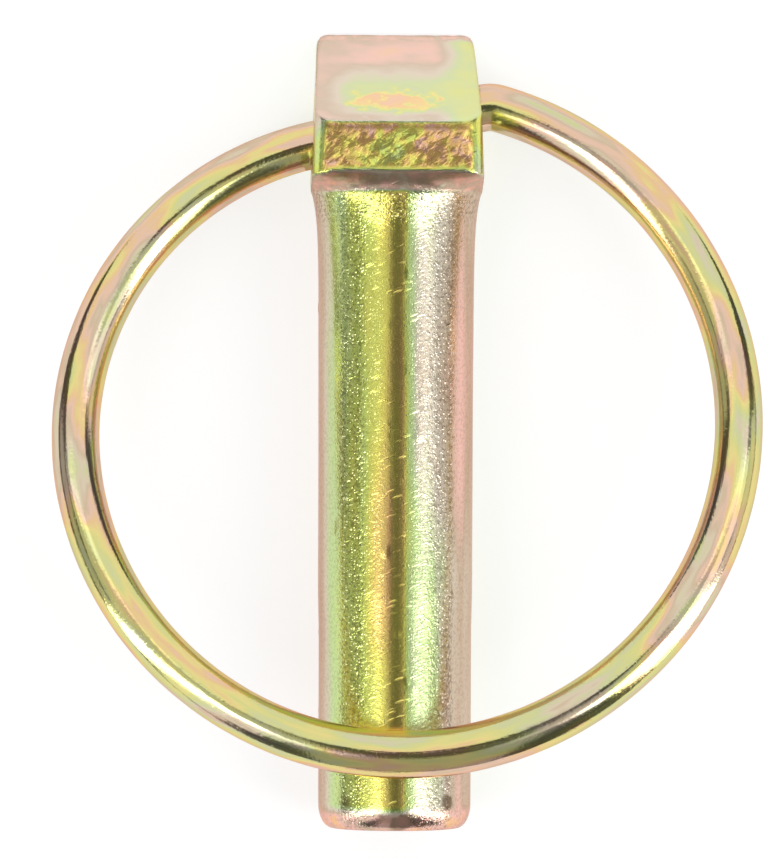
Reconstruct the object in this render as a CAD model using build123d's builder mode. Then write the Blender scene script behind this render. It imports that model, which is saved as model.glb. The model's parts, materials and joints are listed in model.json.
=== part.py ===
from build123d import *
from math import asin, atan, cos, degrees, radians, sin, sqrt, tan
import os

# A lynch pin lying on its back: the shank runs along Y with its tip at the low
# end, the head is at the high end and Z points up, to the side where the ring
# lies. The origin is on the shank's axis, where the straight shank meets the
# neck under the head. All sizes are millimetres and degrees.

# Shank, a round bar that narrows a little towards its tip
shank_radius = 5.62
straight_length = 23.0
taper_length = 4.0
taper_depth = 0.064
tip_beyond_ring = 5.665
tip_chamfer = 0.85

# Neck, which spreads from the shank to the head, slowly up to a knee and then faster
neck_length = 5.6
neck_spread = 0.63
knee_rise = 3.0
knee_spread = 0.17

# Head, a forged block with a flat back, a top that slopes down to the front
# and a short blunt front that overhangs the neck
head_draft = 0.5
back_proud = 0.05
front_overhang = 0.6
back_height = 12.15
front_height = 3.8
ledge_height = 1.1
corner_slope = 14.0
front_round = 1.6
edge_round = 0.55

# Cross hole through the head, slanted and behind the shank's axis
hole_rise = 4.75
hole_setback = 1.5
hole_slant = 12.5
hole_clearance = 0.08

# Ring, spring wire bent in three sweeps with its ends in the cross hole. The
# right sweep is a little wider than the left one, the end sweep a little tighter.
wire_diameter = 3.5
ring_radius = 23.9
right_wider = 0.5
end_tighter = 1.8
bend_inside = 0.65
bend_gap = 0.34
ends_apart = 3.4
end_chamfer = 0.4
rest_gap = 0.08

# Sizes of the head that follow
neck_radius = shank_radius + neck_spread
knee_radius = shank_radius + knee_spread
head_base_width = 2 * neck_radius
head_top_width = head_base_width - 2 * head_draft
head_base_y = neck_length
back_top_y = head_base_y + back_height
front_low_y = head_base_y + ledge_height
front_top_y = front_low_y + front_height
back_z = -(shank_radius + back_proud)
front_z = neck_radius + front_overhang
hole_y = head_base_y + hole_rise
hole_z = -hole_setback
slant = radians(hole_slant)

# Distance along the hole from its middle to the mouth on the right of the head
side_lean = head_draft / back_height
mouth_reach = (neck_radius - side_lean * hole_rise) / (cos(slant) + side_lean * sin(slant))

# The ring seen in its own plane: X runs along the hole from its middle and -Y
# towards the shank's tip. The left sweep and the end sweep meet at the far
# left, the right sweep and the left sweep at the bottom, and a tight bend turns
# the right sweep into the hole, just outside the hole's mouth.
wire_radius = wire_diameter / 2
left_sweep_radius = ring_radius
right_sweep_radius = ring_radius + right_wider
end_sweep_radius = ring_radius - end_tighter
bend_radius = wire_radius + bend_inside
bend_rise = left_sweep_radius + end_sweep_radius - right_sweep_radius - bend_radius
bend_run = sqrt((right_sweep_radius - bend_radius) ** 2 - bend_rise**2)
bend_turn = degrees(atan(bend_run / bend_rise))
bend_centre = (mouth_reach + bend_gap, -bend_radius)
ring_offset = bend_run - bend_centre[0]
right_centre = (-ring_offset, -bend_radius - bend_rise)
left_centre = (-ring_offset, -end_sweep_radius)
end_centre = (-ring_offset - end_tighter, -end_sweep_radius)
tip_radius = shank_radius - taper_depth


def ring_reach(tilt):
    """Distance in the ring's plane from the hole's axis to the wire where it crosses the shank."""
    lean = atan(cos(tilt) * tan(slant))
    across = ring_offset * cos(lean) - end_sweep_radius * sin(lean)
    along = end_sweep_radius * cos(lean) + ring_offset * sin(lean)
    return (along + sqrt(left_sweep_radius**2 - across**2)) * cos(lean)


def ring_tilt():
    """Angle at which the wire lies on the front of the shank; it and the reach fix each other."""
    tilt = 0.0
    for _ in range(6):
        tilt = asin((tip_radius + wire_radius + rest_gap - hole_z) / ring_reach(tilt))
    return tilt


# The plane of the ring as it lies on the shank, and the shank's places
tilt = ring_tilt()
hole_axis = Vector(cos(slant), sin(slant), 0)
hole_centre = Vector(0, hole_y, hole_z)
ring_normal = Vector(-sin(slant) * sin(tilt), cos(slant) * sin(tilt), cos(tilt))
ring_plane = Plane(origin=hole_centre, x_dir=hole_axis, z_dir=ring_normal)
crossing_y = hole_y - ring_reach(tilt) * cos(tilt) / cos(slant)
taper_start = -straight_length
taper_end = taper_start - taper_length
tip_y = crossing_y - tip_beyond_ring

# Head: its side profile pushed across, cut to the taper seen from the front
# and to the shallow cone of its underside
with BuildPart() as head:
    with BuildSketch(Plane.YZ):
        with BuildLine():
            Polyline(
                (head_base_y, back_z),
                (back_top_y, back_z),
                (front_top_y, front_z),
                (front_low_y, front_z),
                (head_base_y, neck_radius),
                close=True,
            )
        make_face()
    extrude(amount=head_base_width, both=True)
    with BuildSketch(Plane.XY):
        with BuildLine():
            Polyline(
                (-head_base_width / 2, head_base_y),
                (head_base_width / 2, head_base_y),
                (head_top_width / 2, back_top_y),
                (-head_top_width / 2, back_top_y),
                close=True,
            )
        make_face()
    extrude(amount=2 * front_z, both=True, mode=Mode.INTERSECT)
    upright = head.edges().filter_by(lambda e: abs(e.tangent_at(0.5).Y) > 0.9)
    fillet(upright.group_by(Axis.Z)[-1], radius=front_round)
    above_base = head.edges().filter_by(lambda e: (e @ 0.5).Y > head_base_y + edge_round)
    fillet(above_base, radius=edge_round)
    rim = 2 * head_base_width
    with BuildSketch(Plane.XY):
        with BuildLine():
            Polyline(
                (0, head_base_y),
                (neck_radius, head_base_y),
                (neck_radius + rim, head_base_y + rim * tan(radians(corner_slope))),
                (neck_radius + rim, back_top_y + rim),
                (0, back_top_y + rim),
                close=True,
            )
        make_face()
    revolve(axis=Axis.Y, mode=Mode.INTERSECT)

# Neck: two cones that meet at its knee, flat at the back like the head
with BuildPart() as neck:
    with BuildSketch(Plane.XY):
        with BuildLine():
            Polyline(
                (0, 0),
                (shank_radius, 0),
                (knee_radius, knee_rise),
                (neck_radius, neck_length),
                (0, neck_length),
                close=True,
            )
        make_face()
    revolve(axis=Axis.Y)
    split(bisect_by=Plane.XY.offset(back_z), keep=Keep.TOP)

# Pin: one forging of shank, neck and head, with the cross hole for the ring
with BuildPart() as pin:
    with BuildSketch(Plane.XY):
        with BuildLine():
            Polyline(
                (0, 0),
                (shank_radius, 0),
                (shank_radius, taper_start),
                (tip_radius, taper_end),
                (tip_radius, tip_y),
                (0, tip_y),
                close=True,
            )
        make_face()
    revolve(axis=Axis.Y)
    chamfer(pin.edges().group_by(Axis.Y)[0], length=tip_chamfer)
    add(neck.part)
    add(head.part)
    with BuildSketch(Plane(origin=hole_centre, x_dir=(0, 0, 1), z_dir=hole_axis)):
        Circle(wire_radius + hole_clearance)
    extrude(amount=head_base_width, both=True, mode=Mode.SUBTRACT)

# Ring: one length of wire swept along its bends
with BuildPart() as ring:
    with BuildLine(ring_plane) as wire:
        Line((-ends_apart / 2, 0), (end_centre[0], 0))
        CenterArc(end_centre, end_sweep_radius, 90, 90)
        CenterArc(left_centre, left_sweep_radius, 180, 90)
        CenterArc(right_centre, right_sweep_radius, 270, 180 - bend_turn)
        CenterArc(bend_centre, bend_radius, 90 - bend_turn, bend_turn)
        Line((bend_centre[0], 0), (ends_apart / 2, 0))
    with BuildSketch(Plane(origin=wire.wires()[0] @ 0, z_dir=wire.wires()[0] % 0)):
        Circle(wire_radius)
    sweep()
    chamfer(ring.faces().filter_by(GeomType.PLANE).edges(), length=end_chamfer)

os.makedirs("parts", exist_ok=True)
pin.part.label = "pin"
export_step(pin.part, "parts/pin.step")
ring.part.label = "ring"
export_step(ring.part, "parts/ring.step")

print("ring tilt", round(degrees(tilt), 3), "offset", round(ring_offset, 3), "crossing", round(crossing_y, 3))
print("pin ", pin.part.is_valid, round(pin.part.volume, 2), pin.part.bounding_box())
print("ring", ring.part.is_valid, round(ring.part.volume, 2), ring.part.bounding_box())
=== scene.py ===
"""Dresses the lynch pin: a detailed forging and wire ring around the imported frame, and a plain stage."""

import json
import math

import bpy
import numpy as np
from mathutils import Matrix, Vector


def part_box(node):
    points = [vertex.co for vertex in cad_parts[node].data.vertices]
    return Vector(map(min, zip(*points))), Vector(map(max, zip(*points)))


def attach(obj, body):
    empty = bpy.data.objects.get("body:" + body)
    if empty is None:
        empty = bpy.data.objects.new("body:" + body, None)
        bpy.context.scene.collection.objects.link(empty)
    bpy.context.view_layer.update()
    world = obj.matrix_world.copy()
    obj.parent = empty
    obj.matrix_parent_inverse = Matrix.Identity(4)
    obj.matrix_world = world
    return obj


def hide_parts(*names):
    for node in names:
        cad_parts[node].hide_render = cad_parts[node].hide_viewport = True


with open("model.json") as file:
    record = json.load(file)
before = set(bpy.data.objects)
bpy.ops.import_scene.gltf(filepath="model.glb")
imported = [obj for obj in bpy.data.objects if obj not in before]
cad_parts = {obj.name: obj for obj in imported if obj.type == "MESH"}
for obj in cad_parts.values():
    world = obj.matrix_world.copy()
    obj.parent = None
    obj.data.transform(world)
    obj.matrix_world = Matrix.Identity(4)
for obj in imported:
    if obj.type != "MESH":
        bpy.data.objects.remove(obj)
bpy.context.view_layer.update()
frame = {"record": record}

bl_info = {
    "name": "Lynch pin",
    "version": (1, 0, 0),
    "blender": (4, 5, 0),
    "location": "View3D > Sidebar > Lynch pin",
    "description": "Builds a yellow-plated lynch pin with a swinging ring on a pale stage",
    "category": "Add Mesh",
}

MM = 0.001
RECORD = frame["record"]
HINGE = RECORD["behaviour"]["joints"][0]
SHANK = next(mount for mount in RECORD["mounts"] if mount["name"] == "shank")
BACK = next(mount for mount in RECORD["mounts"] if mount["name"] == "back")
PIN_LOW, PIN_HIGH = (np.array(corner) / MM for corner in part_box("pin"))
RING_TOP = float(max(corner[2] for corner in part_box("ring"))) / MM
TIP_Y, BACK_Z, FRONT_Z = float(PIN_LOW[1]), float(PIN_LOW[2]), float(PIN_HIGH[2])
HOLE_CENTRE = np.array(HINGE["pos_m"]) / MM
HOLE_AXIS = -np.array(HINGE["axis"], float)
FLOOR_Z = float(BACK["pos_m"][2])
WHITE = (1, 1, 1, 1)

# The photograph's height in pixels and its scale, then the camera's distance in millimetres, its angles in
# degrees and the point that it looks at
FRAME_HEIGHT = 859
PIXELS_PER_MM = 13.7
CAMERA_DISTANCE = 500.0
CAMERA_SIDEWAYS = -1.41
CAMERA_ROLL = 0.2
LOOK_AT = (-0.48, -11.85)
SENSOR_WIDTH = 36.0
NEAREST, FARTHEST = 0.01, 20

# Half the floor's width in metres, and its grey
FLOOR_HALF = 2.0
FLOOR_GREY = 0.4

# Light: glow of the floor and the room, then each light box with its compass direction and its lean from
# overhead in degrees, its distance in metres, its length and width and its radiance
FLOOR_GLOW = 0.66
ROOM_LIGHT = 0.09
LIGHT_BOXES = (
    ("left_near_box", 186, 22.0, 0.50, (0.211, 0.36), 0.56),
    ("left_far_box", 188, 44.5, 0.50, (0.19, 0.36), 0.55),
    ("left_side_box", 184, 72.0, 0.50, (0.20, 0.36), 0.40),
    ("right_near_box", -7, 22.5, 0.50, (0.205, 0.36), 0.58),
    ("right_far_box", -8, 46.5, 0.50, (0.21, 0.36), 1.22),
    ("right_side_box", -5, 74.0, 0.50, (0.22, 0.36), 0.75),
    ("low_left_box", 207, 55.0, 0.50, (0.62, 0.11), 3.6),
    ("low_left_far_box", 224, 54.0, 0.50, (0.66, 0.15), 1.0),
    ("low_right_box", -28, 58.0, 0.50, (0.58, 0.19), 3.2),
    ("low_front_box", -90, 54.0, 0.50, (0.66, 0.36), 0.34),
    ("top_box", 90, 54.0, 0.60, (1.08, 1.40), 0.96),
)


def length(label, description, millimetres):
    """Length setting whose default is given in millimetres."""
    return bpy.props.FloatProperty(
        name=label, description=description, default=millimetres * MM, unit="LENGTH", precision=5)


class PinSizes(bpy.types.PropertyGroup):
    """Sizes of the forging."""

    shank_radius: length("Shank radius", "Radius of the straight shank", SHANK["dims"]["r_mm"])
    tip_radius: length("Tip radius", "Radius of the shank's narrower lower end", 5.556)
    tip_inset: length("Tip inset", "How far the tip's edge is rounded inwards", 1.0)
    tip_length: length("Tip length", "Length of the tip's rounding along the shank", 1.75)
    front_round: length("Front rounding", "Rounding of the head's two front corners", 1.6)
    crisp_round: length("Crisp edges", "Rounding of the edges round the head's front and top", 0.2)
    back_round: length("Back edges", "Rounding of the edges round the head's back", 0.45)
    roughness_depth: length("Shear depth", "Depth of the rough sheared front of the head", 0.14)


class RingSizes(bpy.types.PropertyGroup):
    """Sizes of the wire ring."""

    wire_radius: length("Wire radius", "Radius of the spring wire", 1.75)
    left_sweep: length("Left sweep", "Radius of the ring's lower left", 23.9)
    right_sweep: length("Right sweep", "Radius of the ring's right side", 24.4)
    end_sweep: length("End sweep", "Radius where the ring's left end runs into the head", 22.1)
    offset: length("Ring offset", "How far the ring's middle lies left of the head's", 4.255)
    bend: length("Bend radius", "Radius of the tight bend at the right of the head", 2.4)
    ends_apart: length("Ends apart", "Room between the wire's two ends inside the head", 3.4)


def film_colour(label, description, value):
    """Colour setting of the plating, as it looks on a screen."""
    return bpy.props.FloatVectorProperty(
        name=label, description=description, subtype="COLOR_GAMMA", size=3, default=value, min=0, max=1)


class PlatingColours(bpy.types.PropertyGroup):
    """Colours of the chromated zinc plating."""

    green: film_colour("Green", "Film colour of the green bands", (0.76, 0.85, 0.60))
    lime: film_colour("Lime", "Film colour between green and yellow", (0.83, 0.88, 0.45))
    yellow: film_colour("Yellow", "Film colour of the yellow bands", (0.94, 0.89, 0.45))
    orange: film_colour("Orange", "Film colour between yellow and pink", (0.95, 0.76, 0.50))
    pink: film_colour("Pink", "Film colour of the pink bands", (0.93, 0.74, 0.69))
    tan: film_colour("Tan", "Film colour after pink", (0.78, 0.69, 0.60))
    mauve: film_colour("Mauve", "Film colour before the next green", (0.84, 0.80, 0.72))
    wire: film_colour("Wire", "Colour that shows through the film on the wire", (0.82, 0.74, 0.61))
    # Pale bare metal: worn crests, also used as a painted highlight on the crests and as painted light on the
    # top face
    pale_zinc_and_light: film_colour("Pale metal and light", "Pale metal of worn crests, also painted light on the top and crests", (0.97, 0.94, 0.88))
    # Shade colour: painted shade in the crease, tears, ledge line and pits, and painted dark reflections at
    # the tip
    painted_shade: film_colour("Shade", "Painted shade in pits, creases and tears, and dark reflections at the tip", (0.36, 0.27, 0.16))


# Factors that scramble the cell numbers of the noise, in words of 32 bits
CELL_FACTORS = (374761393, 668265263, 2147483647)
SEED_FACTOR, FIRST_FACTOR, SECOND_FACTOR = 1274126177, 1103515245, 2246822519
WORD, HALF_RANGE = 0xFFFFFFFF, 0x7FFFFF


def lattice_noise(points, size, seed):
    """Smooth random field from -1 to 1: random values on a cubic lattice of the given size, one for each
    corner, blended inside a cell with the weights 3f^2 - 2f^3 of the place in the cell."""
    scaled = points / np.asarray(size, float)
    cell = np.floor(scaled).astype(np.int64)
    part = scaled - cell
    weight = part * part * (3 - 2 * part)
    total = np.zeros(points.shape[:-1])
    for corner in np.ndindex(2, 2, 2):
        key = sum((cell[..., axis] + corner[axis]) * CELL_FACTORS[axis] for axis in range(3))
        key = (key + seed * SEED_FACTOR) & WORD
        key = ((key ^ (key >> 13)) * FIRST_FACTOR) & WORD
        key = ((key ^ (key >> 16)) * SECOND_FACTOR) & WORD
        value = ((key ^ (key >> 15)) & (2 * HALF_RANGE + 1)) / HALF_RANGE - 1.0
        share = np.ones_like(total)
        for axis in range(3):
            share = share * (weight[..., axis] if corner[axis] else 1 - weight[..., axis])
        total += share * value
    return total


def layered_noise(points, size, seed, layers):
    """Sum of lattice noises, each half as large and half as strong as the one before."""
    size = np.asarray(size, float)
    total = sum(lattice_noise(points, size / 2**k, seed + k) / 2**k for k in range(layers))
    return total / (2 - 0.5 ** (layers - 1))


def smooth_step(low, high, value):
    """Rises from 0 at low to 1 at high as 3t^2 - 2t^3."""
    t = np.clip((value - low) / (high - low), 0, 1)
    return t * t * (3 - 2 * t)


def round_max(a, b, radius):
    """The larger of two distances, with a quarter round of the given radius where both are near zero."""
    inner = np.minimum(np.maximum(a, b) + radius, 0)
    return inner + np.hypot(np.maximum(a + radius, 0), np.maximum(b + radius, 0)) - radius


def round_min(a, b, radius):
    """The smaller of two distances, with a fillet of the given radius in the inner corner."""
    return -round_max(-a, -b, radius)


def add_grid(name, grid):
    """Mesh from a grid of points (rows, around, 3) in mm that closes round each row; the first and last
    rows are closed by a fan to their mean point."""
    rows, around = grid.shape[:2]
    points = grid.reshape(-1, 3)
    index = np.arange(rows * around).reshape(rows, around)
    beside = np.roll(index, -1, axis=1)
    faces = np.stack([index[:-1], beside[:-1], beside[1:], index[1:]], axis=-1).reshape(-1, 4).tolist()
    for row, first, second in ((0, beside[0], index[0]), (-1, index[-1], beside[-1])):
        centre = len(points)
        points = np.vstack([points, grid[row].mean(axis=0)])
        faces += [[int(a), int(b), centre] for a, b in zip(first, second)]
    mesh = bpy.data.meshes.new(name)
    mesh.from_pydata((points * MM).tolist(), [], faces)
    mesh.update()
    mesh.shade_smooth()
    piece = bpy.data.objects.new(name, mesh)
    bpy.context.scene.collection.objects.link(piece)
    return piece


def add_field(piece, name, values):
    """Stores one number or one vector for each vertex as a named attribute."""
    values = np.asarray(values, np.float32)
    kind, key = ("FLOAT_VECTOR", "vector") if values.ndim == 2 else ("FLOAT", "value")
    field = piece.data.attributes.new(name, kind, "POINT")
    field.data.foreach_set(key, values.ravel())


# The forging: sizes in millimetres, heights along Y. The neck spreads twice, close to the head and over a
# long stretch below it.
NECK_SPREAD, NECK_DECAY = 0.53, 1.7
NECK_LONG_SPREAD, NECK_LONG_DECAY = 0.10, 9.0
TAPER_START, TAPER_END = -23.0, -27.0
HEAD_BASE_Y = 5.6
HEAD_HALF_BASE, HEAD_HALF_TOP = 6.25, 5.75
HEAD_TOP_Y = float(PIN_HIGH[1]) + 0.15
FRONT_LOW_Y, FRONT_TOP_Y = 6.7, 10.5
UNDERSIDE_SLOPE = math.tan(math.radians(14))
BAR_FILLET = 0.35
BAR_OVERLAP = 2
LEDGE_ROUND = 0.05
LEAST_ROUND_Z = 1.0

# Rounding of the top's edge, which fades in towards the back, and of the back's edges, from the neck up
TOP_CORNER_ROUND, TOP_CORNER_FADE = 0.5, (-2.4, -0.1)
BACK_ROUND_FADE, BACK_LEAST_ROUND = (3.0, HEAD_BASE_Y), 0.02

# Rays that find the surface: how many around, how far they reach, how often the stretch is halved, then the
# fans at the tip and over the top in degrees and the climb between them, as start, end and number of rows
PIN_AROUND = 256
RAY_REACH = 16.0
HALVINGS = 40
TIP_FAN_Y, TOP_FAN_Y = TIP_Y + 3.2, HEAD_BASE_Y + 3.1
NECK_FINE_Y, LEAN_START_Y, LEDGE_END_Y = HEAD_BASE_Y - 2, HEAD_BASE_Y - 1.5, HEAD_BASE_Y + 1.4
TIP_FAN = ((-89.5, -50, 12), (-50, -8, 22))
CLIMB = ((TIP_FAN_Y - 0.4, NECK_FINE_Y, 196), (NECK_FINE_Y, LEDGE_END_Y, 26), (LEDGE_END_Y, TOP_FAN_Y, 12))
TOP_FAN, TOP_FAN_END = ((0, 56, 50),), (56, 89.5, 18)

# Relief in the mesh: size of its cells, seed, depth in millimetres
TORN_CELL, TORN_SEED, TORN_LEAN = (1.6, 1.1, 1.6), 11, -0.8
TORN_FINE_CELL, TORN_FINE_SEED, TORN_LEVEL = (0.7, 0.9, 0.9), 21, 0.6
WAVE_CELL, WAVE_SEED, WAVE_DEPTH = (3.0, 5.0, 3.0), 31, 0.012
PIT_CELL, PIT_SEED, PIT_DEPTH, PIT_SHARE = (0.75, 0.95, 0.75), 41, 0.03, (0.45, 0.8)

# Painted shade in the crease over the front, in the deep tears and along the ledge: strengths from 0 to 1
CREASE_SHADE, TEAR_SHADE, LEDGE_LINE_SHADE = 0.7, 0.55, 0.6
CREASE_PLACE, CREASE_WIDTH, DEEP_TEARS = 0.45, 0.22, (0.05, -0.75)
LINE_PLACE, LINE_WIDTH, LINE_Y_FADE, LINE_FRONT_FADE = 0.02, 0.12, (5.2, 5.9), (-1.2, -0.4)

# Where the looks of the front, top, rim and ledge fade out: distances to the head's faces, or heights
FRONT_FADE, FRONT_SIDE_FADE, FRONT_EDGE_FADE = (-0.35, -0.1), (0.25, 0.9), (0.05, 0.3)
TOP_FACE_FADE, RIM_FADE, RIM_BACK_FADE = (-0.25, -0.05), (-0.6, -0.1), (-1.3, -0.9)
LEDGE_FADE, LEDGE_Y_FADE = (-0.12, -0.03), (5.3, 5.6)
PIN_FIELDS = ("front_face", "top_face", "painted_shade", "rim", "ledge")


def bar_radius(y, sizes):
    """Radius of the round bar at a height: the straight shank, plus two spreads that fade exponentially
    below the head, less the smooth step down to the tip's radius and the quarter ellipse at the tip."""
    straight = sizes.shank_radius / MM
    below = HEAD_BASE_Y - y
    spread = NECK_SPREAD * np.exp(-below / NECK_DECAY) + NECK_LONG_SPREAD * np.exp(-below / NECK_LONG_DECAY)
    step = straight - sizes.tip_radius / MM
    into_tip = np.clip(1 - (y - TIP_Y) / (sizes.tip_length / MM), 0, 1)
    ellipse = sizes.tip_inset / MM * (1 - np.sqrt(1 - into_tip**2))
    return straight + spread - step * (1 - smooth_step(TAPER_END, TAPER_START, y)) - ellipse


def head_distances(points):
    """Signed distances to the head's faces: back, front, top, side, ledge and underside. The ledge is the
    ruled surface from the front's straight lower edge down to the circle of the neck."""
    x, y, z = points[..., 0], points[..., 1], points[..., 2]
    run, drop = FRONT_Z - BACK_Z, HEAD_TOP_Y - FRONT_TOP_Y
    top = ((y - HEAD_TOP_Y) * run + (z - BACK_Z) * drop) / math.hypot(run, drop)
    taper = (HEAD_HALF_BASE - HEAD_HALF_TOP) / (HEAD_TOP_Y - HEAD_BASE_Y)
    side = (np.abs(x) - HEAD_HALF_BASE + (y - HEAD_BASE_Y) * taper) / math.hypot(1, taper)
    depth, rise = FRONT_Z - HEAD_HALF_BASE, FRONT_LOW_Y - HEAD_BASE_Y
    below = np.clip((FRONT_LOW_Y - y) / rise, 0, 1)
    above = np.maximum(y - FRONT_LOW_Y, 0)
    round_z = np.sqrt(np.maximum(HEAD_HALF_BASE**2 - x**2, LEAST_ROUND_Z))
    ledge = ((z - FRONT_Z + (FRONT_Z - round_z) * below) * rise - above * depth) / math.hypot(depth, rise)
    reach = np.hypot(x, z)
    under = (HEAD_BASE_Y + (reach - HEAD_HALF_BASE) * UNDERSIDE_SLOPE - y) / math.hypot(1, UNDERSIDE_SLOPE)
    return {"back": BACK_Z - z, "front": z - FRONT_Z,
            "top": top, "side": side, "ledge": ledge, "under": under}


def pin_distance(points, sizes):
    """Signed distance to the forging: the head is the rounded overlap of its faces, the bar is a round bar
    with a rounded end, both are joined with a small fillet, and the back is cut flat."""
    d = head_distances(points)
    crisp = sizes.crisp_round / MM
    head = round_max(d["front"], d["side"], sizes.front_round / MM)
    head = round_max(head, d["top"], crisp + TOP_CORNER_ROUND * smooth_step(*TOP_CORNER_FADE, d["back"]))
    head = round_max(head, d["under"], crisp)
    head = round_max(head, d["ledge"], LEDGE_ROUND)
    y = points[..., 1]
    reach = np.hypot(points[..., 0], points[..., 2])
    bar = reach - bar_radius(np.minimum(y, HEAD_BASE_Y), sizes)
    bar = np.maximum(bar, TIP_Y - y)
    bar = np.maximum(bar, y - HEAD_BASE_Y - BAR_OVERLAP)
    back_round = sizes.back_round / MM * smooth_step(*BACK_ROUND_FADE, y) + BACK_LEAST_ROUND
    return round_max(round_min(head, bar, BAR_FILLET), d["back"], back_round)


def even_steps(spans):
    """Numbers in even steps over spans of start, end and count, each without its end."""
    return np.concatenate([np.linspace(*span, endpoint=False) for span in spans])


def pin_rays(around):
    """Ray origins and directions that sweep the whole forging once: a fan at the tip, straight out along
    the shank, leaning with the head's top as they climb the head, and a fan over the top."""
    turn = np.linspace(0, 2 * np.pi, around, endpoint=False)
    lean_top = math.atan2(HEAD_TOP_Y - FRONT_TOP_Y, FRONT_Z - BACK_Z)
    fan_in = np.radians(even_steps(TIP_FAN))
    heights = even_steps(CLIMB)
    fan_out = np.radians(np.concatenate([even_steps(TOP_FAN), np.linspace(*TOP_FAN_END)]))
    spine = np.concatenate([np.full(fan_in.size, TIP_FAN_Y), heights, np.full(fan_out.size, TOP_FAN_Y)])
    pitch = np.concatenate([fan_in, np.zeros(heights.size), fan_out])
    lean = lean_top * smooth_step(LEAN_START_Y, TOP_FAN_Y, spine)
    origin = np.zeros((spine.size, around, 3))
    origin[..., 1] = spine[:, None]
    out_x, out_z = np.cos(turn)[None, :], np.sin(turn)[None, :]
    axial, radial = np.sin(pitch)[:, None], np.cos(pitch)[:, None]
    level = np.zeros(spine.size)
    along = np.stack([level, np.cos(lean), np.sin(lean)], axis=-1)[:, None, :]
    across = np.stack([level, -np.sin(lean), np.cos(lean)], axis=-1)[:, None, :]
    outward = out_x[..., None] * np.array([1.0, 0, 0]) + out_z[..., None] * across
    return origin, axial[..., None] * along + radial[..., None] * outward


def cast_pin(origin, direction, sizes):
    """Walks every ray outwards to the surface by halving the stretch between inside and outside."""
    near = np.zeros(origin.shape[:-1])
    far = np.full(origin.shape[:-1], RAY_REACH)
    for _ in range(HALVINGS):
        middle = (near + far) / 2
        inside = pin_distance(origin + direction * middle[..., None], sizes) < 0
        near, far = np.where(inside, middle, near), np.where(inside, far, middle)
    return origin + direction * near[..., None]


def grid_normals(grid):
    """Unit normals of a closed grid from the cross product of its two directions."""
    along = np.gradient(grid, axis=0)
    around = np.roll(grid, -1, axis=1) - np.roll(grid, 1, axis=1)
    normal = np.cross(around, along)
    return normal / np.maximum(np.linalg.norm(normal, axis=-1, keepdims=True), 1e-9)


def build_pin(sizes):
    """Casts the forging's surface, then moves it along its normals by the shear marks, pits and waves."""
    origin, direction = pin_rays(PIN_AROUND)
    grid = cast_pin(origin, direction, sizes)
    d = head_distances(grid)
    normal = grid_normals(grid)
    on_front = smooth_step(*FRONT_FADE, d["front"]) * smooth_step(*FRONT_SIDE_FADE, -d["side"])
    on_front *= smooth_step(*FRONT_EDGE_FADE, -d["top"]) * smooth_step(*FRONT_EDGE_FADE, -d["ledge"])
    on_top = smooth_step(*TOP_FACE_FADE, d["top"])
    rim = smooth_step(*RIM_FADE, d["top"]) * smooth_step(*RIM_BACK_FADE, d["back"])
    slanted = grid @ np.array([[1.0, 0.0, 0.0], [TORN_LEAN, 1.0, 0.0], [0.0, 0.0, 1.0]])
    torn = layered_noise(slanted, TORN_CELL, TORN_SEED, 4)
    torn = torn + 0.5 * np.abs(lattice_noise(slanted, TORN_FINE_CELL, TORN_FINE_SEED))
    waves = WAVE_DEPTH * layered_noise(grid, WAVE_CELL, WAVE_SEED, 2) - WAVE_DEPTH / 2
    pits = -PIT_DEPTH * smooth_step(*PIT_SHARE, layered_noise(grid, PIT_CELL, PIT_SEED, 2))
    shift = waves + pits * (1 - on_top) + on_front * (sizes.roughness_depth / MM) * (torn - TORN_LEVEL)
    grid = np.clip(grid + normal * np.minimum(shift, 0.0)[..., None], PIN_LOW, PIN_HIGH)
    piece = add_grid("pin_forging", grid)
    height = grid[..., 1]
    # Painted shade: a dark line in the crease under the front's top edge, in the deepest tears and along the
    # top of the ledge
    crease = np.exp(-(((d["top"] + CREASE_PLACE) / CREASE_WIDTH) ** 2)) * on_front
    deep = smooth_step(*DEEP_TEARS, torn) * on_front
    ledge_line = np.exp(-(((d["ledge"] + LINE_PLACE) / LINE_WIDTH) ** 2)) * smooth_step(*LINE_Y_FADE, height)
    ledge_line *= smooth_step(*LINE_FRONT_FADE, d["front"])
    painted_shade = np.clip(CREASE_SHADE * crease + TEAR_SHADE * deep + LEDGE_LINE_SHADE * ledge_line, 0, 1)
    on_ledge = smooth_step(*LEDGE_FADE, d["ledge"]) * smooth_step(*LEDGE_Y_FADE, height)
    for name, field in zip(PIN_FIELDS, (on_front, on_top, painted_shade, rim, on_ledge)):
        add_field(piece, name, np.concatenate([field.ravel(), [0.0, 0.0]]))
    return piece


# Cross hole: distance from its middle and its radius there, out past the flared mouth, in millimetres
HOLE_PROFILE = ((0.0, 1.83), (6.1, 1.83), (6.6, 2.0), (7.2, 2.3), (9.0, 2.6))
HOLE_AROUND = 96


def add_cutter():
    """The cross hole as a round bar along the hinge axis that flares a little at both mouths."""
    half = np.array(HOLE_PROFILE)
    reach, radius = np.vstack([half[:0:-1] * (-1, 1), half]).T
    turn = np.linspace(0, 2 * np.pi, HOLE_AROUND, endpoint=False)
    first = np.array([0, 0, 1.0])
    second = np.cross(HOLE_AXIS, first)
    rim = np.cos(turn)[:, None] * first + np.sin(turn)[:, None] * second
    grid = HOLE_CENTRE + reach[:, None, None] * HOLE_AXIS + radius[:, None, None] * rim[None]
    return add_grid("hole_cutter", grid)


# The ring: points around the wire, the chamfer of its ends and the depth of its unevenness, in millimetres
RING_AROUND = 96
PATH_STEP = 0.25
END_CHAMFER = 0.4
MARK_CELL, MARK_SEED, MARK_DEPTH = (2.4, 2.4, 2.4), 51, 0.012


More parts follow.
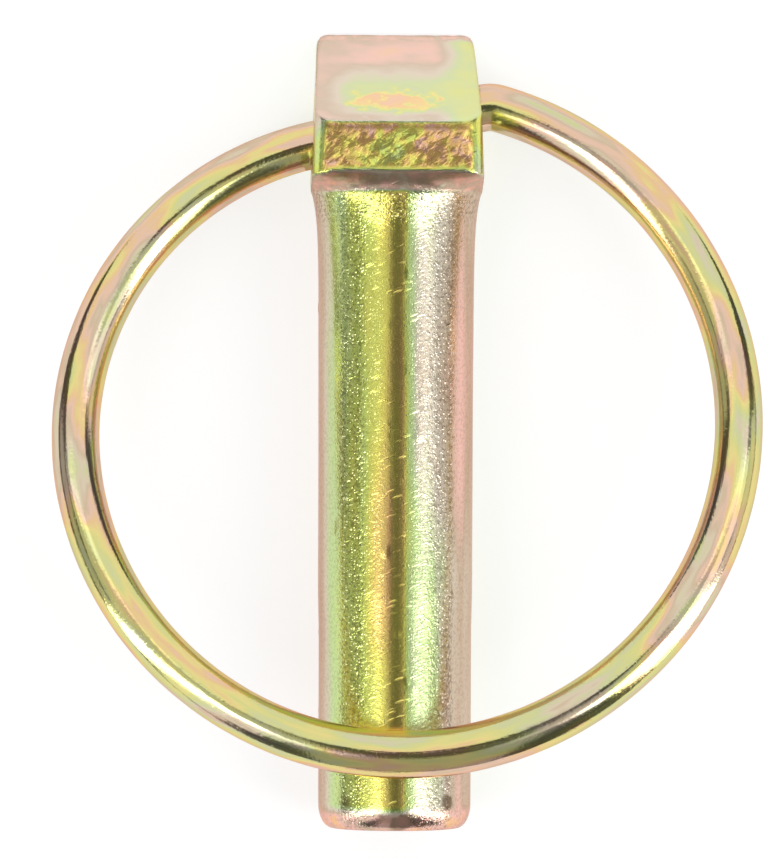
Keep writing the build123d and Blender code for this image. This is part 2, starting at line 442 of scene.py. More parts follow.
def ring_path(sizes):
    """Centre line of the wire in the ring's own plane, as points and unit tangents: straight out of the
    head, a small circle, the lower left circle, the right circle, the tight bend and straight back in."""
    left, right, end = sizes.left_sweep / MM, sizes.right_sweep / MM, sizes.end_sweep / MM
    offset, bend, gap = sizes.offset / MM, sizes.bend / MM, sizes.ends_apart / MM / 2
    left_c = np.array([-offset, -end])
    end_c = np.array([end - left - offset, -end])
    right_c = np.array([-offset, right - left - end])
    rise = -bend - right_c[1]
    run = math.sqrt((right - bend) ** 2 - rise**2)
    bend_c = np.array([right_c[0] + run, -bend])
    turn = math.degrees(math.atan2(run, rise))

    def arc(centre, radius, start, turned):
        """Points and tangents of an arc that starts at an angle and turns on by another, in degrees."""
        count = max(3, round(abs(math.radians(turned)) * radius / PATH_STEP))
        angle = np.radians(start + turned * np.arange(count) / count)
        place = centre + radius * np.stack([np.cos(angle), np.sin(angle)], axis=-1)
        return place, np.stack([-np.sin(angle), np.cos(angle)], axis=-1)

    def line(start_x, end_x, last=False):
        """Points and tangents of a straight piece on the hole's axis, with its end only if it is the last."""
        count = max(3, round(abs(end_x - start_x) / PATH_STEP))
        share = np.arange(count + last) / count
        place = np.stack([start_x + (end_x - start_x) * share, np.zeros(count + last)], axis=-1)
        return place, np.tile([np.sign(end_x - start_x), 0.0], (count + last, 1))

    spans = [line(-gap, end_c[0]), arc(end_c, end, 90, 90), arc(left_c, left, 180, 90),
             arc(right_c, right, 270, 180 - turn), arc(bend_c, bend, 90 - turn, turn),
             line(bend_c[0], gap, last=True)]
    return np.vstack([s[0] for s in spans]), np.vstack([s[1] for s in spans])


def build_ring(sizes):
    """Carries a round section along the centre line; the section shrinks unevenly by about a hundredth.
    The plane's lean follows from the highest point of the wire, which the frame's box gives."""
    path, tangent = ring_path(sizes)
    radius = sizes.wire_radius / MM
    slant = math.atan2(HOLE_AXIS[1], HOLE_AXIS[0])
    lean = math.asin((RING_TOP - radius - HOLE_CENTRE[2]) / -path[:, 1].min())
    u_axis = HOLE_AXIS
    v_axis = np.array([-math.sin(slant) * math.cos(lean), math.cos(slant) * math.cos(lean), -math.sin(lean)])
    normal = np.cross(u_axis, v_axis)
    centre = HOLE_CENTRE + path[:, :1] * u_axis + path[:, 1:] * v_axis
    forward = tangent[:, :1] * u_axis + tangent[:, 1:] * v_axis
    side = np.cross(normal, forward)
    along = np.concatenate([[0], np.cumsum(np.linalg.norm(np.diff(centre, axis=0), axis=-1))])
    turn = np.linspace(0, 2 * np.pi, RING_AROUND, endpoint=False)
    section = np.cos(turn)[None, :, None] * side[:, None, :]
    section = section + np.sin(turn)[None, :, None] * normal[None, None, :]
    ends = np.minimum(along, along[-1] - along)
    shrink = np.minimum(1.0, (radius - END_CHAMFER + np.minimum(ends, END_CHAMFER)) / radius)
    grid = centre[:, None, :] + section * (radius * shrink)[:, None, None]
    marks = MARK_DEPTH * layered_noise(grid, MARK_CELL, MARK_SEED, 2) - MARK_DEPTH
    piece = add_grid("ring_wire", grid + section * marks[..., None])
    straight = np.empty((*grid.shape[:2], 3))
    straight[..., 0] = along[:, None]
    straight[..., 1:] = radius * np.stack([np.cos(turn), np.sin(turn)], axis=-1)[None]
    ends_on_axis = [[along[0], 0, 0], [along[-1], 0, 0]]
    add_field(piece, "straightened", np.vstack([straight.reshape(-1, 3), ends_on_axis]))
    return piece


# Materials

def add_node(tree, kind, inputs=None, **settings):
    """Adds a node, sets its options and fills its inputs with values or other nodes' sockets."""
    node = tree.nodes.new(kind)
    for name, value in settings.items():
        setattr(node, name, value)
    for key, value in (inputs or {}).items():
        if isinstance(value, bpy.types.NodeSocket):
            tree.links.new(value, node.inputs[key])
        else:
            node.inputs[key].default_value = value
    return node


def calc(tree, operation, *values):
    """Result of a Math node."""
    return add_node(tree, "ShaderNodeMath", dict(enumerate(values)), operation=operation).outputs[0]


def mix(tree, factor, first, second):
    """Number that runs from first to second as the factor runs from 0 to 1."""
    return add_node(tree, "ShaderNodeMix", {0: factor, 2: first, 3: second}).outputs[0]


def stored(tree, name):
    """Number stored for each vertex under the given name."""
    return add_node(tree, "ShaderNodeAttribute", attribute_name=name).outputs["Fac"]


def remap(tree, value, low, high, to_low=0.0, to_high=1.0, smooth=True):
    """Value carried from one range to another, clamped at both ends."""
    kind = "SMOOTHSTEP" if smooth else "LINEAR"
    inputs = {"Value": value, "From Min": low, "From Max": high, "To Min": to_low, "To Max": to_high}
    return add_node(tree, "ShaderNodeMapRange", inputs, interpolation_type=kind).outputs["Result"]


def blend_colour(tree, factor, first, second):
    """Result of a colour Mix node; its colour sockets are inputs 6 and 7, its colour output 2."""
    return add_node(tree, "ShaderNodeMix", {0: factor, 6: first, 7: second}, data_type="RGBA").outputs[2]


def ramp(tree, factor, stops):
    """Colour ramp with the given places and colours."""
    node = add_node(tree, "ShaderNodeValToRGB", {"Fac": factor})
    points = node.color_ramp.elements
    while len(points) < len(stops):
        points.new(1.0)
    for point, (place, colour) in zip(points, stops):
        point.position = place
        point.color = (*colour, 1)
    return node.outputs["Color"]


def start_group(name, inputs, outputs):
    """New shader node group with named sockets; returns it with the nodes that hold them."""
    group = bpy.data.node_groups.new(name, "ShaderNodeTree")
    for label, (kind, value) in inputs.items():
        socket = group.interface.new_socket(name=label, in_out="INPUT", socket_type=kind)
        socket.default_value = value
    for label, kind in outputs.items():
        group.interface.new_socket(name=label, in_out="OUTPUT", socket_type=kind)
    return group, group.nodes.new("NodeGroupInput").outputs, group.nodes.new("NodeGroupOutput")


def use_group(tree, name, inputs):
    """Output sockets of a node that uses the named group with the given inputs."""
    return add_node(tree, "ShaderNodeGroup", inputs, node_tree=bpy.data.node_groups[name]).outputs


def linear(colour):
    """Screen colour as scene-linear colour, by the usual power of 2.2."""
    return tuple(channel**2.2 for channel in colour)


# Order of the film's colours as it grows thicker: place in the cycle, colour
FILM_STOPS = (
    (0.0, "green"), (0.18, "lime"), (0.32, "yellow"), (0.46, "orange"),
    (0.58, "pink"), (0.72, "tan"), (0.86, "mauve"), (1.0, "green"))


def film_group(colours):
    """Colour of the plating's thin film: its thickness runs through green, yellow, orange, pink and mauve
    and starts again."""
    group, given, result = start_group(
        "chromate_film", {"Thickness": ("NodeSocketFloat", 0.0)}, {"Colour": "NodeSocketColor"})
    stops = [(at, linear(getattr(colours, name))) for at, name in FILM_STOPS]
    colour = ramp(group, calc(group, "FRACT", given["Thickness"]), stops)
    group.links.new(colour, result.inputs["Colour"])


def patch_group():
    """Cloudy field, about -Strength to Strength, in the given coordinates."""
    group, given, result = start_group(
        "cloudy_patches",
        {"Vector": ("NodeSocketVector", (0, 0, 0)), "Scale": ("NodeSocketFloat", 1.0),
         "Strength": ("NodeSocketFloat", 1.0)},
        {"Value": "NodeSocketFloat"})
    noise = add_node(group, "ShaderNodeTexNoise",
                     {"Vector": given["Vector"], "Scale": given["Scale"], "Detail": 2.0, "Roughness": 0.5})
    centred = calc(group, "MULTIPLY_ADD", noise.outputs["Fac"], 2.0, -1.0)
    group.links.new(calc(group, "MULTIPLY", centred, given["Strength"]), result.inputs["Value"])


def scattered_bumps(tree, vector, scale, radius, share, channel):
    """Round bumps from 0 to 1 on a random share of the cells of a Voronoi pattern."""
    cells = add_node(tree, "ShaderNodeTexVoronoi", {"Vector": vector, "Scale": scale, "Randomness": 1.0})
    pick = add_node(tree, "ShaderNodeSeparateColor", {"Color": cells.outputs["Color"]}).outputs[channel]
    dome = remap(tree, cells.outputs["Distance"], 0.0, radius, 1.0, 0.0)
    return calc(tree, "MULTIPLY", dome, remap(tree, pick, 1 - share, 1 - share + 0.3))


# Relief under the plating: scale of each pattern per millimetre, size of its bumps in cells, share of the
# cells that have one, and height in millimetres. A tick's size and slant are in millimetres and degrees.
FINE_SCALE, FINE_HEIGHT, FINE_PITS = 4.2, 0.030, (0.52, 0.38)
SMALL_BUMPS, SMALL_HEIGHT = (5.6, 0.55, 0.60), 0.020
LARGE_BUMPS, LARGE_HEIGHT = (3.1, 0.42, 0.30), 0.032
TICK_SIZE, TICK_TURN = (1.1, 0.22, 1.1), math.radians(22)
TICK_BUMPS, TICK_HEIGHT = (1.0, 0.45, 0.25), 0.024
WAVE_SCALE, WAVE_HEIGHT = 1.5, 0.014


def grain_group():
    """Fine relief under the plating, in millimetres: scattered bumps, short slanted ticks and soft waves."""
    group, given, result = start_group(
        "plated_grain",
        {"Vector": ("NodeSocketVector", (0, 0, 0)), "Bumps": ("NodeSocketFloat", 1.0),
         "Ticks": ("NodeSocketFloat", 1.0), "Waves": ("NodeSocketFloat", 1.0)},
        {"Height": "NodeSocketFloat", "Crests": "NodeSocketFloat", "Pits": "NodeSocketFloat"})
    place = given["Vector"]
    fine = add_node(group, "ShaderNodeTexNoise", {
        "Vector": place, "Scale": FINE_SCALE, "Detail": 2.0, "Roughness": 0.6}).outputs["Fac"]
    small = scattered_bumps(group, place, *SMALL_BUMPS, "Red")
    large = scattered_bumps(group, place, *LARGE_BUMPS, "Green")
    slanted = add_node(group, "ShaderNodeMapping", {
        "Vector": place, "Rotation": (0, 0, TICK_TURN), "Scale": TICK_SIZE}, vector_type="TEXTURE").outputs[0]
    ticks = scattered_bumps(group, slanted, *TICK_BUMPS, "Blue")
    waves = add_node(group, "ShaderNodeTexNoise", {
        "Vector": place, "Scale": WAVE_SCALE, "Detail": 3.0, "Roughness": 0.6}).outputs["Fac"]
    bumps = calc(group, "MULTIPLY_ADD", small, SMALL_HEIGHT, calc(group, "MULTIPLY", large, LARGE_HEIGHT))
    bumps = calc(group, "MULTIPLY_ADD", fine, FINE_HEIGHT, bumps)
    ticks = calc(group, "MULTIPLY", ticks, TICK_HEIGHT)
    waves = calc(group, "MULTIPLY", waves, WAVE_HEIGHT)
    height = calc(group, "MULTIPLY", bumps, given["Bumps"])
    height = calc(group, "MULTIPLY_ADD", ticks, given["Ticks"], height)
    height = calc(group, "MULTIPLY_ADD", waves, given["Waves"], height)
    crests = calc(group, "MULTIPLY", calc(group, "MAXIMUM", small, large), given["Bumps"])
    pits = calc(group, "MULTIPLY", remap(group, fine, *FINE_PITS), given["Bumps"])
    for name, value in (("Height", height), ("Crests", crests), ("Pits", pits)):
        group.links.new(value, result.inputs[name])


# Distances from an oval's middle, in half sizes, between which its mask fades out
OVAL_FADE = (0.45, 1.1)


def oval(tree, vector, centre, half_size, turn=0.0, ragged=0.0):
    """Mask that is 1 in the middle of an oval and 0 outside it, from a Mapping node that centres, turns and
    shrinks the oval to a unit ball. The field ragged moves its edge in and out."""
    local = add_node(tree, "ShaderNodeMapping", {
        "Vector": vector, "Location": centre, "Rotation": (0, 0, turn), "Scale": half_size},
        vector_type="TEXTURE").outputs[0]
    reach = add_node(tree, "ShaderNodeVectorMath", {0: local}, operation="LENGTH").outputs["Value"]
    return remap(tree, calc(tree, "ADD", reach, ragged), *OVAL_FADE, 1.0, 0.0)


# Film thickness round the shank: angle from the front's middle in degrees, thickness in colour cycles.
# The two ends meet at the back, a whole number of cycles apart.
SHANK_FILM = (
    (-180, 0.60), (-150, 0.35), (-120, 0.55), (-95, 0.72), (-70, 0.77), (-62, 0.89), (-54, 1.00), (-44, 1.08),
    (-34, 1.18), (-22, 1.20), (-12, 1.27), (-5, 1.32), (4, 1.38), (7, 1.12), (12, 0.98), (17, 0.82),
    (28, 0.82), (36, 0.76), (45, 0.62), (54, 0.57), (66, 0.66), (95, 0.72), (120, 0.95), (150, 1.20),
    (180, 1.60))

# What is added to it down the shank, left of the middle and on the right: height, thickness
LEFT_DRIFT = ((-41, 0.02), (-30, 0.04), (-26, 0.13), (-17, 0.14), (-12, 0.04), (0, 0.00), (6, 0.04))
RIGHT_DRIFT = ((-41, 0.06), (-34, 0.15), (-22, 0.17), (-16, 0.06), (-8, 0.00), (0, 0.06), (6, 0.12))
FILM_CYCLES = 2.0

# Strength of the grain round the shank: angle, strength
SHANK_GRAIN = (
    (-180, 0.60), (-70, 0.30), (-50, 0.35), (-45, 0.95), (-28, 0.95), (-22, 0.40), (-12, 0.28), (-5, 0.12),
    (3, 0.12), (8, 0.30), (17, 0.50), (24, 0.90), (44, 0.95), (49, 0.35), (70, 0.30), (180, 0.60))

# Film thickness down the middle of the slanted top: height in millimetres, thickness in colour cycles
TOP_FILM = (
    (10.4, 0.74), (10.8, 0.78), (11.2, 0.96), (12.3, 1.07), (13.2, 1.03), (14.0, 0.92), (14.7, 0.72),
    (15.3, 0.60), (16.2, 0.60), (16.8, 0.68), (17.6, 0.74))

# Middle film thickness, in colour cycles, where no curve gives it
FILM = {
    "top_left": 0.68, "top_right": 1.12, "torn": 1.46, "side": 1.10, "tip": 0.62, "oxide": 0.68, "wire": 0.38}

# Spans of the curves and places where one look fades into the next: angles in degrees, the rest in
# millimetres along X or Y
TURN_SPAN, SHANK_SPAN, TOP_SPAN = (-180, 180), (-41, 6), (10.4, 17.6)
LEFT_FADE_IN, LEFT_FADE_OUT, RIGHT_FADE_IN = (-26, -18), (-5, -2), (10, 18)
TOP_LEFT_FADE, TOP_RIGHT_FADE = (-2.6, -5.6), (2.6, 5.2)
TIP_FADE, HEAD_FADE, NECK_GRAIN_FADE = (-38.9, -40.0), (5.2, 5.9), (2.2, 4.2)

# Clouds: stretch of the pattern, scale per millimetre, strength. The strength is in degrees for the wander
# of the bands, in radii for ragged edges and in colour cycles for the rest.
EVEN = (1.0, 1.0, 1.0)
CLOUDS = {
    "wander": ((1.0, 0.14, 1.0), 0.45, 5.0),
    "bands": ((1.0, 0.10, 1.0), 0.9, 0.12),
    "top": ((0.8, 1.4, 1.0), 0.45, 0.16),
    "ragged": (EVEN, 0.9, 1.1),
    "torn_large": (EVEN, 0.50, 0.28),
    "torn_small": (EVEN, 1.7, 0.24),
    "side": (EVEN, 0.28, 0.6),
    "tip": (EVEN, 0.6, 0.30),
    "oxide": (EVEN, 1.1, 0.35),
    "wire_large": ((0.22, 1.0, 1.0), 0.40, 1.5),
    "wire_small": ((0.25, 1.0, 1.0), 1.4, 0.25),
}

# Bright streak across the torn front: its middle, half sizes and slant, and the thickness that it adds
STREAK_CENTRE, STREAK_SIZE, STREAK_TURN = (-0.4, 8.6, 6.85), (2.9, 1.3, 2.5), math.radians(38)
STREAK_FILM = -0.28

# Orange patch low on the slanted top, and the painted dark reflections at the tip, one in its middle and two
# beside it: middles, half sizes and strengths
TOP_PATCH_CENTRE, TOP_PATCH_SIZE, TOP_PATCH_FILM = (-0.3, 11.9, 4.3), (3.6, 1.2, 3.0), 0.42
TIP_MIDDLE_REFLECTION_CENTRE, TIP_MIDDLE_REFLECTION_SIZE, TIP_MIDDLE_REFLECTION_STRENGTH = (0.3, -40.2, 5.0), (2.2, 0.6, 1.5), 0.6
TIP_SIDE_REFLECTION_CENTRE, TIP_SIDE_REFLECTION_SIZE, TIP_SIDE_REFLECTION_STRENGTH = (3.65, -38.7, 4.2), (0.5, 0.6, 1.5), 0.7

# Tears of the front: stretch and scale of their pattern, height in millimetres, and where painted shade lies
# in their hollows
TEAR_STRETCH, TEAR_SCALE, TEAR_HEIGHT = (1.7, 0.7, 1.0), 1.7, 0.15
TEAR_HOLLOW_SPAN, TEAR_HOLLOW_SHADE = (0.58, 0.44), 0.7

# How far the crests show pale bare metal, partly wear and partly a painted highlight, how far the top is
# painted paler as painted light and how far the pits get painted shade, then the roughness of bright plating
# and what dull plating adds to it
CREST_WEAR_AND_HIGHLIGHT, TOP_PAINTED_LIGHT, PIT_SHADE = 0.6, 0.28, 0.45
BRIGHT_ROUGHNESS, DULL_ROUGHNESS, TOP_DULL = 0.20, 0.16, 0.7

# Grain that is left on the head, and waves of the relief: least, with the grain, and on worn places
HEAD_GRAIN_LOSS = -0.8
LEAST_WAVES, GRAIN_WAVES, WORN_WAVES = 0.3, 0.7, 3.0

# Wire: share of its own colour, drawing lines and grain
WIRE_SHARE = 0.5
LINE_STRETCH, LINE_SCALE, LINE_HEIGHT, LINE_SPAN = (0.10, 2.6, 2.6), 2.0, 0.008, (0.3, 0.7)
WIRE_BUMPS, WIRE_WAVES = 0.12, 0.5
WIRE_ROUGHNESS = (0.10, 0.18)

# Tint of the metal at grazing angles
EDGE_TINT = (0.86, 0.67, 0.61, 1)


def in_millimetres(tree):
    """Object coordinates in millimetres."""
    place = add_node(tree, "ShaderNodeTexCoord").outputs["Object"]
    return add_node(tree, "ShaderNodeVectorMath", {0: place, "Scale": 1 / MM}, operation="SCALE").outputs[0]


def stretched(tree, vector, scale):
    """Vector times the given scale."""
    return add_node(tree, "ShaderNodeMapping", {"Vector": vector, "Scale": scale}).outputs[0]


def start_metal(name):
    """Material with an empty tree apart from its shader and output."""
    material = bpy.data.materials.new(name)
    material.use_nodes = True
    shader = material.node_tree.nodes["Principled BSDF"]
    shader.inputs["Metallic"].default_value = 1.0
    shader.inputs["Specular Tint"].default_value = EDGE_TINT
    return material, material.node_tree, shader


def finish_metal(tree, shader, colour, roughness, height):
    """Joins colour, roughness and the height of the grain, in millimetres, to the shader."""
    bump = add_node(tree, "ShaderNodeBump", {"Strength": 1.0, "Distance": MM, "Height": height})
    tree.links.new(colour, shader.inputs["Base Color"])
    tree.links.new(roughness, shader.inputs["Roughness"])
    tree.links.new(bump.outputs[0], shader.inputs["Normal"])


def clouds(tree, vector, name):
    """Output of the cloudy patch group for one entry of CLOUDS."""
    stretch, scale, strength = CLOUDS[name]
    inputs = {"Vector": stretched(tree, vector, stretch), "Scale": scale, "Strength": strength}
    return use_group(tree, "cloudy_patches", inputs)[0]


def curve(tree, value, span, points, cycles=1):
    """Number that follows the given points over a span: a grey ramp, scaled to colour cycles."""
    low, high = span
    place = remap(tree, value, low, high, smooth=False)
    stops = [((at - low) / (high - low), (level / cycles,) * 3) for at, level in points]
    return calc(tree, "MULTIPLY", ramp(tree, place, stops), cycles)


def shank_film(tree, place, turn, height):
    """Film thickness of the shank: bands by angle that wander a little and drift down the shank, and clouds
    at the tip."""
    bands = calc(tree, "ADD", turn, clouds(tree, place, "wander"))
    film = curve(tree, bands, TURN_SPAN, SHANK_FILM, FILM_CYCLES)
    film = calc(tree, "ADD", film, clouds(tree, place, "bands"))
    on_left = remap(tree, turn, *LEFT_FADE_OUT, 1.0, 0.0)
    on_left = calc(tree, "MULTIPLY", remap(tree, turn, *LEFT_FADE_IN), on_left)
    on_right = remap(tree, turn, *RIGHT_FADE_IN)
    left_drift = calc(tree, "MULTIPLY", on_left, curve(tree, height, SHANK_SPAN, LEFT_DRIFT))
    right_drift = calc(tree, "MULTIPLY", on_right, curve(tree, height, SHANK_SPAN, RIGHT_DRIFT))
    film = calc(tree, "ADD", film, calc(tree, "ADD", left_drift, right_drift))
    tip = calc(tree, "ADD", clouds(tree, place, "tip"), FILM["tip"])
    return mix(tree, remap(tree, height, *TIP_FADE), film, tip)


def top_film(tree, place, axes, ragged):
    """Film thickness of the slanted top: bands across it, its two sides, clouds and the orange patch."""
    film = curve(tree, axes["Y"], TOP_SPAN, TOP_FILM, FILM_CYCLES)
    film = mix(tree, remap(tree, axes["X"], *TOP_LEFT_FADE), film, FILM["top_left"])
    film = mix(tree, remap(tree, axes["X"], *TOP_RIGHT_FADE), film, FILM["top_right"])
    film = calc(tree, "ADD", film, clouds(tree, place, "top"))
    orange = oval(tree, place, TOP_PATCH_CENTRE, TOP_PATCH_SIZE, ragged=ragged)
    return calc(tree, "MULTIPLY_ADD", orange, TOP_PATCH_FILM, film)


def torn_film(tree, place, ragged):
    """Film thickness of the torn front: clouds of two sizes and the bright streak."""
    large, small = (clouds(tree, place, name) for name in ("torn_large", "torn_small"))
    film = calc(tree, "ADD", calc(tree, "ADD", large, small), FILM["torn"])
    streak = oval(tree, place, STREAK_CENTRE, STREAK_SIZE, STREAK_TURN, ragged)
    return calc(tree, "ADD", film, calc(tree, "MULTIPLY", streak, STREAK_FILM))


def tip_painted_reflections(tree, place, axes, ragged):
    """Dark mask of the painted reflections at the tip: one in its middle and two beside it."""
    mirrored = add_node(tree, "ShaderNodeCombineXYZ", {
        "X": calc(tree, "ABSOLUTE", axes["X"]), "Y": axes["Y"], "Z": axes["Z"]}).outputs[0]
    # Painted dark reflection in the tip's middle, then two beside it, mirrored left and right
    shade = oval(tree, place, TIP_MIDDLE_REFLECTION_CENTRE, TIP_MIDDLE_REFLECTION_SIZE, ragged=ragged)
    shade = calc(tree, "MULTIPLY", shade, TIP_MIDDLE_REFLECTION_STRENGTH)
    side_reflections = oval(tree, mirrored, TIP_SIDE_REFLECTION_CENTRE, TIP_SIDE_REFLECTION_SIZE, ragged=ragged)
    return calc(tree, "MAXIMUM", shade, calc(tree, "MULTIPLY", side_reflections, TIP_SIDE_REFLECTION_STRENGTH))


def forging_material(colours):
    """Plated forging: film bands that run along the shank, bands on the slanted top, a torn mottled front
    face with painted shade in its hollows, crease and ledge line, and painted dark reflections at the tip."""
    material, tree, shader = start_metal("plated_forging")
    place = in_millimetres(tree)
    axes = add_node(tree, "ShaderNodeSeparateXYZ", {0: place}).outputs
    front_face, top_face, painted_shade, rim, ledge = (stored(tree, name) for name in PIN_FIELDS)
    turn = calc(tree, "DEGREES", calc(tree, "ARCTAN2", axes["X"], axes["Z"]))
    ragged = clouds(tree, place, "ragged")
    on_head = remap(tree, axes["Y"], *HEAD_FADE)
    worn = calc(tree, "MAXIMUM", rim, ledge)

    side = calc(tree, "ADD", clouds(tree, place, "side"), FILM["side"])
    head = mix(tree, top_face, side, top_film(tree, place, axes, ragged))
    head = mix(tree, front_face, head, torn_film(tree, place, ragged))
    thickness = mix(tree, on_head, shank_film(tree, place, turn, axes["Y"]), head)
    oxide = calc(tree, "ADD", clouds(tree, place, "oxide"), FILM["oxide"])
    thickness = mix(tree, worn, thickness, oxide)
    colour = use_group(tree, "chromate_film", {"Thickness": thickness})[0]

    smooth_face = calc(tree, "MAXIMUM", top_face, front_face)
    flecks = curve(tree, turn, TURN_SPAN, SHANK_GRAIN)
    flecks = calc(tree, "MAXIMUM", flecks, remap(tree, axes["Y"], *NECK_GRAIN_FADE))
    flecks = calc(tree, "MULTIPLY", flecks, calc(tree, "MULTIPLY_ADD", on_head, HEAD_GRAIN_LOSS, 1.0))
    flecks = calc(tree, "MULTIPLY", flecks, calc(tree, "SUBTRACT", 1.0, smooth_face))
    waves = calc(tree, "MULTIPLY_ADD", flecks, GRAIN_WAVES, LEAST_WAVES)
    waves = calc(tree, "MULTIPLY_ADD", worn, WORN_WAVES, waves)
    ticks = calc(tree, "SUBTRACT", 1.0, top_face)
    grain = use_group(tree, "plated_grain", {
        "Vector": place, "Bumps": flecks, "Ticks": ticks, "Waves": waves})
    slanted = add_node(tree, "ShaderNodeMapping", {
        "Vector": place, "Rotation": (0, 0, STREAK_TURN), "Scale": TEAR_STRETCH}, vector_type="TEXTURE")
    tears = add_node(tree, "ShaderNodeTexNoise", {
        "Vector": slanted.outputs[0], "Scale": TEAR_SCALE, "Detail": 4.0, "Roughness": 0.68,
        "Distortion": 0.3}).outputs["Fac"]
    relief = calc(tree, "MULTIPLY", tears, front_face)
    relief = calc(tree, "MULTIPLY_ADD", relief, TEAR_HEIGHT, grain["Height"])

    # Pale bare metal on the bump crests is partly wear and partly a painted highlight; the paler top face is
    # painted light
    crests = calc(tree, "MULTIPLY", grain["Crests"], CREST_WEAR_AND_HIGHLIGHT)
    pale = calc(tree, "MAXIMUM", calc(tree, "MULTIPLY", top_face, TOP_PAINTED_LIGHT), crests)
    colour = blend_colour(tree, pale, colour, (*linear(colours.pale_zinc_and_light), 1))
    # Painted shade in the hollows of the tears
    hollow_shade = calc(tree, "MULTIPLY", front_face, TEAR_HOLLOW_SHADE)
    hollow_shade = calc(tree, "MULTIPLY", remap(tree, tears, *TEAR_HOLLOW_SPAN), hollow_shade)
    # Painted shade in the crease, tears and ledge line, and painted dark reflections at the tip
    dark = calc(tree, "MAXIMUM", calc(tree, "MAXIMUM", painted_shade, hollow_shade), tip_painted_reflections(tree, place, axes, ragged))
    # Painted shade in the pits of the fine grain
    dark = calc(tree, "MAXIMUM", dark, calc(tree, "MULTIPLY", grain["Pits"], PIT_SHADE))
    colour = blend_colour(tree, dark, colour, (*linear(colours.painted_shade), 1))
    dull = calc(tree, "MAXIMUM", front_face, worn)
    dull = calc(tree, "MAXIMUM", dull, calc(tree, "MULTIPLY", top_face, TOP_DULL))
    roughness = calc(tree, "MULTIPLY_ADD", dull, DULL_ROUGHNESS, BRIGHT_ROUGHNESS)
    finish_metal(tree, shader, colour, roughness, relief)
    return material


def wire_material(colours):
    """Plated wire: patches of film a few millimetres long, and faint lines drawn along the wire."""
    material, tree, shader = start_metal("plated_wire")
    place = in_millimetres(tree)
    straight = add_node(tree, "ShaderNodeAttribute", attribute_name="straightened").outputs["Vector"]
    large = clouds(tree, straight, "wire_large")
    small = clouds(tree, straight, "wire_small")
    thickness = calc(tree, "ADD", calc(tree, "ADD", large, small), FILM["wire"])
    colour = use_group(tree, "chromate_film", {"Thickness": thickness})[0]
    colour = blend_colour(tree, WIRE_SHARE, colour, (*linear(colours.wire), 1))
    lines = add_node(tree, "ShaderNodeTexNoise", {
        "Vector": stretched(tree, straight, LINE_STRETCH), "Scale": LINE_SCALE, "Detail": 2.0}).outputs["Fac"]
    grain = use_group(tree, "plated_grain", {
        "Vector": place, "Bumps": WIRE_BUMPS, "Ticks": 0.0, "Waves": WIRE_WAVES})
    height = calc(tree, "MULTIPLY_ADD", lines, LINE_HEIGHT, grain["Height"])
    roughness = remap(tree, lines, *LINE_SPAN, *WIRE_ROUGHNESS)
    finish_metal(tree, shader, colour, roughness, height)
    return material


def make_groups(colours):
    """Makes the shared node groups, once for both materials."""
    if "chromate_film" not in bpy.data.node_groups:
        film_group(colours)
        patch_group()
        grain_group()


class LYNCHPIN_OT_pin(bpy.types.Operator):
    """Build the one-piece forging with its cross hole"""

    bl_idname = "lynchpin.pin"
    bl_label = "Pin"

    def execute(self, context):
        piece = build_pin(context.scene.lynchpin_pin)
        cutter = add_cutter()
        colours = context.scene.lynchpin_colours
        make_groups(colours)
        material = forging_material(colours)
        piece.data.materials.append(material)
        cutter.data.materials.append(material)
        hole = piece.modifiers.new("cross_hole", "BOOLEAN")
        hole.operation = "DIFFERENCE"
        hole.solver = "MANIFOLD"
        hole.object = cutter
        context.view_layer.objects.active = piece
        with context.temp_override(object=piece, active_object=piece):
            bpy.ops.object.modifier_apply(modifier=hole.name)
        bpy.data.objects.remove(cutter, do_unlink=True)
        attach(piece, "pin")
        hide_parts("pin")
        return {"FINISHED"}


class LYNCHPIN_OT_ring(bpy.types.Operator):
    """Build the wire ring in the cross hole"""

    bl_idname = "lynchpin.ring"
    bl_label = "Ring"

    def execute(self, context):
        piece = build_ring(context.scene.lynchpin_ring)
        colours = context.scene.lynchpin_colours
        make_groups(colours)
        piece.data.materials.append(wire_material(colours))
        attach(piece, "ring")
        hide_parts("ring")
        return {"FINISHED"}


class LYNCHPIN_OT_stage(bpy.types.Operator):
    """Build the floor, the lights and the camera"""

    bl_idname = "lynchpin.stage"
    bl_label = "Stage"

    def execute(self, context):
        build_stage(context)
        return {"FINISHED"}


def build_stage(context):
    """Pale floor, the camera of the photograph, the room's light and the light boxes."""
    add_floor(context)
    add_camera(context)
    context.scene.view_settings.view_transform = "Standard"
    world = bpy.data.worlds.new("world")
    context.scene.world = world
    world.use_nodes = True
    background = world.node_tree.nodes["Background"]
    background.inputs["Color"].default_value = WHITE
    background.inputs["Strength"].default_value = ROOM_LIGHT
    for box in LIGHT_BOXES:
        add_light_box(*box)


def add_floor(context):
    """Pale floor under the pin's flat back, which glows a little."""
    mesh = bpy.data.meshes.new("floor")
    signs = ((-1, -1), (1, -1), (1, 1), (-1, 1))
    mesh.from_pydata([(x * FLOOR_HALF, y * FLOOR_HALF, FLOOR_Z) for x, y in signs], [], [(0, 1, 2, 3)])
    floor = bpy.data.objects.new("floor", mesh)
    context.scene.collection.objects.link(floor)
    material = bpy.data.materials.new("pale_floor")
    material.use_nodes = True
    shader = material.node_tree.nodes["Principled BSDF"]
    shader.inputs["Base Color"].default_value = (FLOOR_GREY, FLOOR_GREY, FLOOR_GREY, 1)
    shader.inputs["Roughness"].default_value = 1.0
    shader.inputs["Specular IOR Level"].default_value = 0.0
    shader.inputs["Emission Color"].default_value = WHITE
    shader.inputs["Emission Strength"].default_value = FLOOR_GLOW
    mesh.materials.append(material)


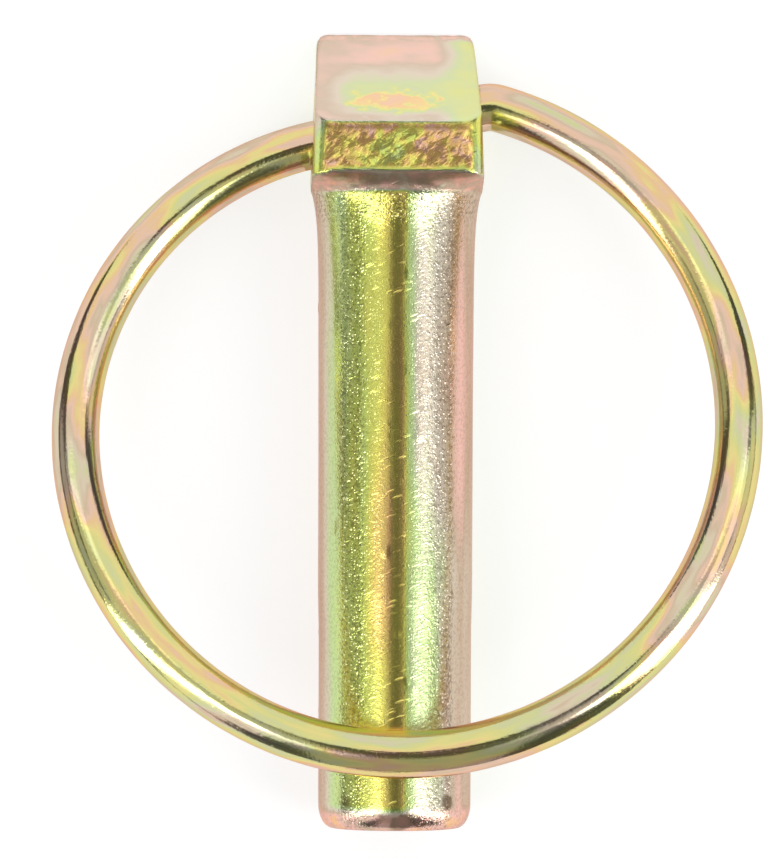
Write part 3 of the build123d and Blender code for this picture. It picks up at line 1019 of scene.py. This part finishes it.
def add_camera(context):
    """Camera at the photograph's angle, with a lens that gives the photograph's scale at its distance."""
    camera = bpy.data.cameras.new("camera")
    camera.sensor_width = SENSOR_WIDTH
    camera.lens = PIXELS_PER_MM * CAMERA_DISTANCE / FRAME_HEIGHT * camera.sensor_width
    camera.clip_start, camera.clip_end = NEAREST, FARTHEST
    view = bpy.data.objects.new("camera", camera)
    context.scene.collection.objects.link(view)
    sideways = math.radians(CAMERA_SIDEWAYS)
    reach = CAMERA_DISTANCE * MM
    across, along = LOOK_AT[0] * MM, LOOK_AT[1] * MM
    view.location = (across + reach * math.sin(sideways), along, reach * math.cos(sideways))
    view.rotation_euler = (0, sideways, math.radians(CAMERA_ROLL))
    context.scene.camera = view


def add_light_box(name, compass, lean, distance, size, glow):
    """Rectangular light that faces the pin: compass is its direction round Z from +X, lean its angle from
    straight overhead, size its length along the lean and its width, glow its radiance."""
    light = bpy.data.lights.new(name, "AREA")
    light.shape = "RECTANGLE"
    light.size, light.size_y = size
    light.energy = glow * math.pi * size[0] * size[1]
    lamp = bpy.data.objects.new(name, light)
    turn = Matrix.Rotation(math.radians(compass), 4, "Z") @ Matrix.Rotation(math.radians(lean), 4, "Y")
    centre = Vector((0, LOOK_AT[1] * MM, 0))
    lamp.matrix_world = Matrix.Translation(centre) @ turn @ Matrix.Translation((0, 0, distance))
    bpy.context.scene.collection.objects.link(lamp)


class LYNCHPIN_PT_sidebar(bpy.types.Panel):
    """Lists the steps that build the lynch pin"""

    bl_label = "Lynch pin"
    bl_idname = "LYNCHPIN_PT_sidebar"
    bl_space_type = "VIEW_3D"
    bl_region_type = "UI"
    bl_category = "Lynch pin"

    def draw(self, context):
        for step in STEPS:
            self.layout.operator(step.bl_idname)


STEPS = (LYNCHPIN_OT_stage, LYNCHPIN_OT_pin, LYNCHPIN_OT_ring)
CLASSES = (PinSizes, RingSizes, PlatingColours, *STEPS, LYNCHPIN_PT_sidebar)


def register():
    """Registers the classes and the settings that they read."""
    for kind in CLASSES:
        bpy.utils.register_class(kind)
    bpy.types.Scene.lynchpin_pin = bpy.props.PointerProperty(type=PinSizes)
    bpy.types.Scene.lynchpin_ring = bpy.props.PointerProperty(type=RingSizes)
    bpy.types.Scene.lynchpin_colours = bpy.props.PointerProperty(type=PlatingColours)


def unregister():
    """Removes the settings and the classes again."""
    del bpy.types.Scene.lynchpin_colours
    del bpy.types.Scene.lynchpin_ring
    del bpy.types.Scene.lynchpin_pin
    for kind in reversed(CLASSES):
        bpy.utils.unregister_class(kind)


def main():
    """Builds the stage, the pin and the ring."""
    register()
    bpy.ops.lynchpin.stage()
    bpy.ops.lynchpin.pin()
    bpy.ops.lynchpin.ring()


if __name__ == "__main__":
    main()
